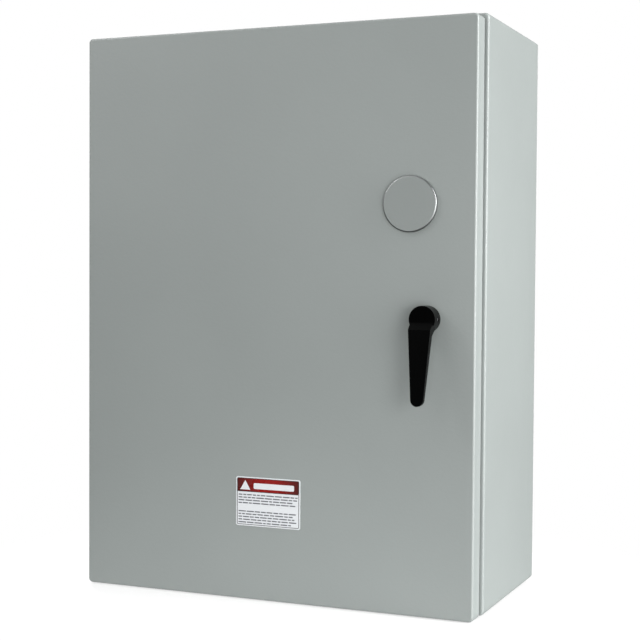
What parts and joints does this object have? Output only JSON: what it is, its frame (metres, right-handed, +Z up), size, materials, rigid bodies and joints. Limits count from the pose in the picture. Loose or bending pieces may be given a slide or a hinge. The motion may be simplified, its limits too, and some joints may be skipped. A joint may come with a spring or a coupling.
{
  "type": "disconnect box",
  "caption": "Wall-mounted light grey steel disconnect box with a hinged overlay door, a black lever latch, a round blanking plug, and a fused knife switch inside.",
  "frame": {"origin": "on the wall face, midway between the four wall holes", "axes": "+X to the right as seen from the front, -Y out from the wall towards the user, +Z up"},
  "size_m": [0.4655, 0.256, 0.612],
  "materials": {
    "painted_steel": "light grey polyester powder coat, fine orange peel, satin",
    "panel_paint": "white powder coat, satin",
    "zinc_steel": "zinc plated, dull silver",
    "bar_aluminium": "tin plated, satin",
    "copper": "bare copper, slightly tarnished",
    "green_screw": "green dyed zinc",
    "black_moulding": "black moulding compound, matt",
    "black_handle": "black powder coated die casting, satin",
    "red_moulding": "red-brown insulating moulding, matt",
    "barrier_sheet": "dark vulcanised fibre sheet",
    "fuse_tube": "buff fibre tube with nickel end caps",
    "gasket_foam": "closed cell foam, matt black",
    "label_film": "printed film, satin",
    "pocket_plastic": "moulded polystyrene, light grey, satin"
  },
  "bodies": {
    "enclosure": {"enclosure_body": "painted_steel", "hinge_body_leaf": "painted_steel", "hinge_pin": "zinc_steel", "back_panel": "panel_paint", "panel_studs": "zinc_steel", "panel_nuts": "zinc_steel", "switch_base": "black_moulding", "switch_screws": "zinc_steel", "line_lugs": "bar_aluminium", "line_lug_screws": "zinc_steel", "line_jaws": "copper", "blade_clips": "copper", "blade_pins": "zinc_steel", "fuse_clips": "copper", "fuses": "fuse_tube", "load_lugs": "bar_aluminium", "load_lug_screws": "zinc_steel", "phase_barriers": "barrier_sheet", "lever_bracket": "zinc_steel", "lever_pin": "zinc_steel", "neutral_posts": "black_moulding", "neutral_bar": "bar_aluminium", "neutral_screws": "copper", "ground_bar": "bar_aluminium", "ground_screws": "green_screw", "body_ground_stud": "copper"},
    "switch_blades": {"knife_blades": "copper", "blade_crossbar": "red_moulding", "throw_lever": "zinc_steel", "throw_grip": "red_moulding"},
    "door": {"door_panel": "painted_steel", "hinge_door_leaf": "painted_steel", "door_gasket": "gasket_foam", "label_plate": "label_film", "plug_cap": "painted_steel", "plug_gasket": "gasket_foam", "plug_clamp": "zinc_steel", "plug_nut": "zinc_steel", "latch_bushing": "black_moulding", "bushing_nut": "zinc_steel", "rod_guides": "black_moulding", "guide_screws": "zinc_steel", "document_pocket": "pocket_plastic", "door_ground_stud": "copper"},
    "latch_handle": {"handle": "black_handle", "handle_set_screw": "zinc_steel", "spindle": "zinc_steel", "spindle_ring": "zinc_steel", "latch_cam": "zinc_steel", "cam_screw": "zinc_steel"},
    "upper_latch_rod": {"upper_rod": "zinc_steel", "upper_rod_pin": "zinc_steel", "upper_glide": "black_moulding"},
    "lower_latch_rod": {"lower_rod": "zinc_steel", "lower_rod_pin": "zinc_steel", "lower_glide": "black_moulding"}
  },
  "joints": [
    {"name": "door_hinge", "type": "hinge", "parent": "enclosure", "child": "door", "pos_m": [-0.233, -0.201, 0], "axis": [0, 0, -1], "range_deg": [0, 120]},
    {"name": "handle_turn", "type": "hinge", "parent": "door", "child": "latch_handle", "pos_m": [0.1748, -0.2241, -0.0029], "axis": [0, 1, 0], "range_deg": [0, 90]},
    {"name": "upper_rod_slide", "type": "slide", "parent": "door", "child": "upper_latch_rod", "axis": [0, 0, 1], "range_m": [-0.0151, 0]},
    {"name": "lower_rod_slide", "type": "slide", "parent": "door", "child": "lower_latch_rod", "axis": [0, 0, 1], "range_m": [0, 0.0151]},
    {"name": "switch_throw", "type": "hinge", "parent": "enclosure", "child": "switch_blades", "pos_m": [-0.01, -0.0623, 0.002], "axis": [1, 0, 0], "range_deg": [0, 80]}
  ],
  "couplings": [
    {"joint": "upper_rod_slide", "follows": "handle_turn", "m_per_rad": -0.0095493},
    {"joint": "lower_rod_slide", "follows": "handle_turn", "m_per_rad": 0.0095493}
  ]
}
